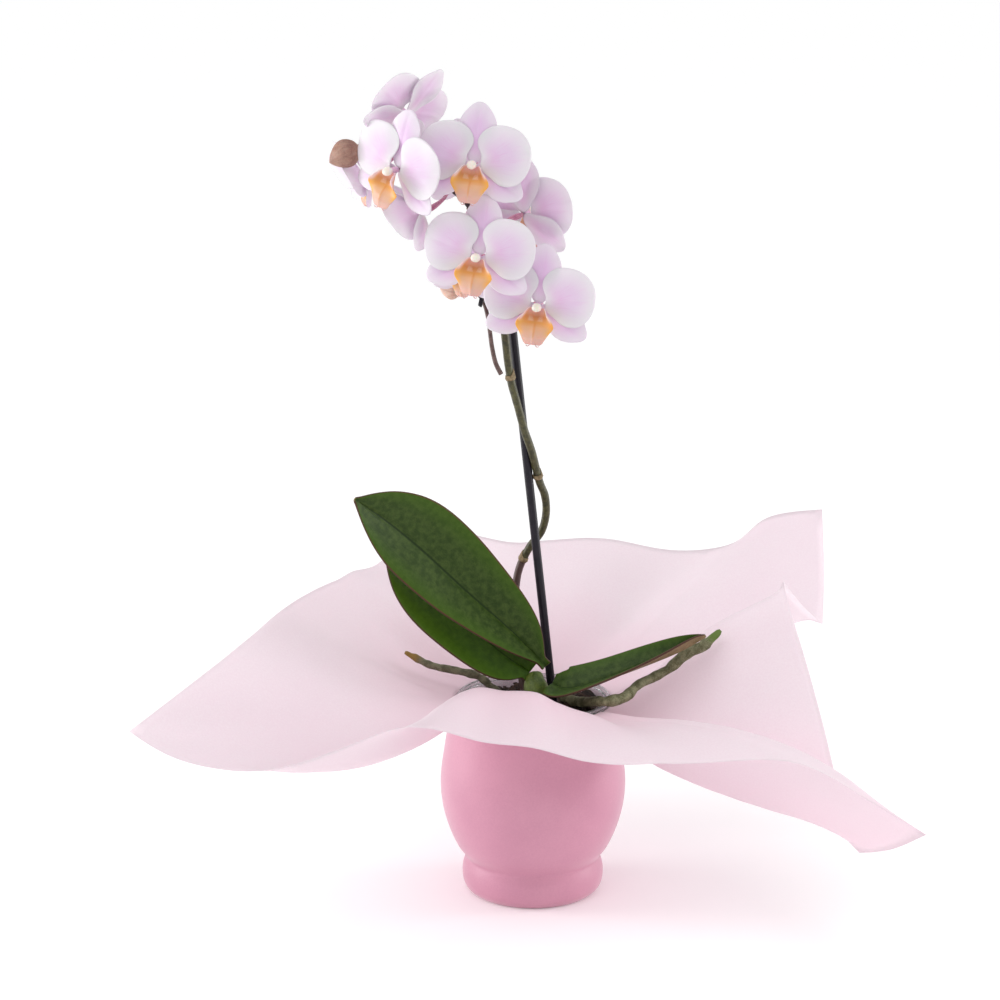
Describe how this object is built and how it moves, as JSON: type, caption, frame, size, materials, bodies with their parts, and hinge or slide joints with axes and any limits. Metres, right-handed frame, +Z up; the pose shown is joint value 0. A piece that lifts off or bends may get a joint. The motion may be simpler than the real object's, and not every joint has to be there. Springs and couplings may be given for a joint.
{
  "type": "potted orchid",
  "caption": "Moth orchid with one arching spike of lilac flowers on a stake, growing in bark in a clear pot inside a round pink ceramic pot lined with a flared square paper wrap.",
  "frame": {"origin": "centre of the ceramic pot's flat foot, on the pot's axis, where it stands on a table", "axes": "+Z up along the pot's axis, +X to the right and +Y to the back as the plant is seen from its front"},
  "size_m": [0.436, 0.3357, 0.4831],
  "materials": {
    "pot_ceramic": "matte",
    "clear_plastic": "gloss",
    "bark": "matte",
    "wrap_paper": "matte",
    "stake_lacquer": "gloss",
    "crown_green": "satin",
    "leaf_green": "satin",
    "root_velamen": "matte",
    "spike_skin": "satin",
    "bud_skin": "matte",
    "petal_lilac": "satin",
    "lip_orange": "satin"
  },
  "bodies": {
    "root": {"ceramic_pot": "pot_ceramic", "grow_pot": "clear_plastic", "bark_mix": "bark", "wrap_sheet": "wrap_paper", "support_stake": "stake_lacquer", "stem_clip": "stake_lacquer", "plant_crown": "crown_green", "leaf_upper": "leaf_green", "leaf_lower": "leaf_green", "leaf_right": "leaf_green", "root_left": "root_velamen", "root_right": "root_velamen", "flower_spike": "spike_skin", "side_branch": "spike_skin", "bud_tip": "bud_skin", "bud_small": "bud_skin", "bloom_a_sepals": "petal_lilac", "bloom_a_petal_left": "petal_lilac", "bloom_a_petal_right": "petal_lilac", "bloom_a_lip": "lip_orange", "bloom_b_sepals": "petal_lilac", "bloom_b_petal_left": "petal_lilac", "bloom_b_petal_right": "petal_lilac", "bloom_b_lip": "lip_orange", "bloom_c_sepals": "petal_lilac", "bloom_c_petal_left": "petal_lilac", "bloom_c_petal_right": "petal_lilac", "bloom_c_lip": "lip_orange", "bloom_d_sepals": "petal_lilac", "bloom_d_petal_left": "petal_lilac", "bloom_d_petal_right": "petal_lilac", "bloom_d_lip": "lip_orange", "bloom_e_sepals": "petal_lilac", "bloom_e_petal_left": "petal_lilac", "bloom_e_petal_right": "petal_lilac", "bloom_e_lip": "lip_orange", "bloom_f_sepals": "petal_lilac", "bloom_f_petal_left": "petal_lilac", "bloom_f_petal_right": "petal_lilac", "bloom_f_lip": "lip_orange", "bloom_g_sepals": "petal_lilac", "bloom_g_petal_left": "petal_lilac", "bloom_g_petal_right": "petal_lilac", "bloom_g_lip": "lip_orange", "bloom_h_sepals": "petal_lilac", "bloom_h_petal_left": "petal_lilac", "bloom_h_petal_right": "petal_lilac", "bloom_h_lip": "lip_orange", "bloom_i_sepals": "petal_lilac", "bloom_i_petal_left": "petal_lilac", "bloom_i_petal_right": "petal_lilac", "bloom_i_lip": "lip_orange", "bloom_j_sepals": "petal_lilac", "bloom_j_petal_left": "petal_lilac", "bloom_j_petal_right": "petal_lilac", "bloom_j_lip": "lip_orange"}
  },
  "joints": []
}
